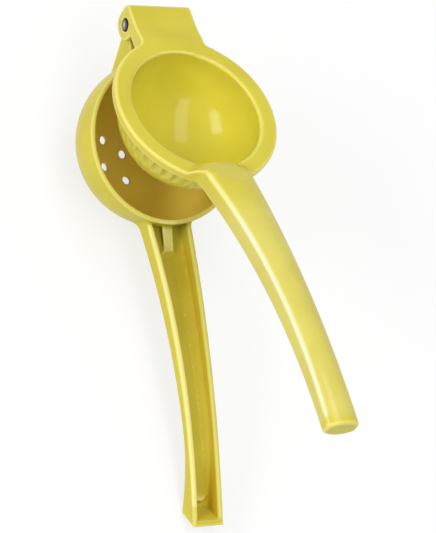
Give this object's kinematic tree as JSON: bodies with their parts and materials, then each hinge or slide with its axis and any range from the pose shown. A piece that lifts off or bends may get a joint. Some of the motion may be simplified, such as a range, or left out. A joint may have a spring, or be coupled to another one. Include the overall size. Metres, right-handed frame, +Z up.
{
  "type": "hinged lemon squeezer",
  "caption": "Hinged hand press for citrus halves: a pierced bowl lever, a ribbed cup lever that folds into it, and the pin that joins them.",
  "frame": {"origin": "on the table surface, at the lowest point under the centre of the strainer bowl", "axes": "+Z up from the table, +X along the hinge pin, -Y towards the ends of both handles"},
  "size_m": [0.075, 0.2197, 0.1249],
  "materials": {
    "enamel": "gloss",
    "pin_steel": "polished"
  },
  "bodies": {
    "strainer": {"strainer_lever": "enamel", "hinge_pin": "pin_steel"},
    "press": {"press_lever": "enamel"}
  },
  "joints": [
    {"name": "hinge", "type": "hinge", "parent": "strainer", "child": "press", "pos_m": [0, 0.04736, 0.05401], "axis": [-1, 0, 0], "range_deg": [-27, 73]}
  ]
}
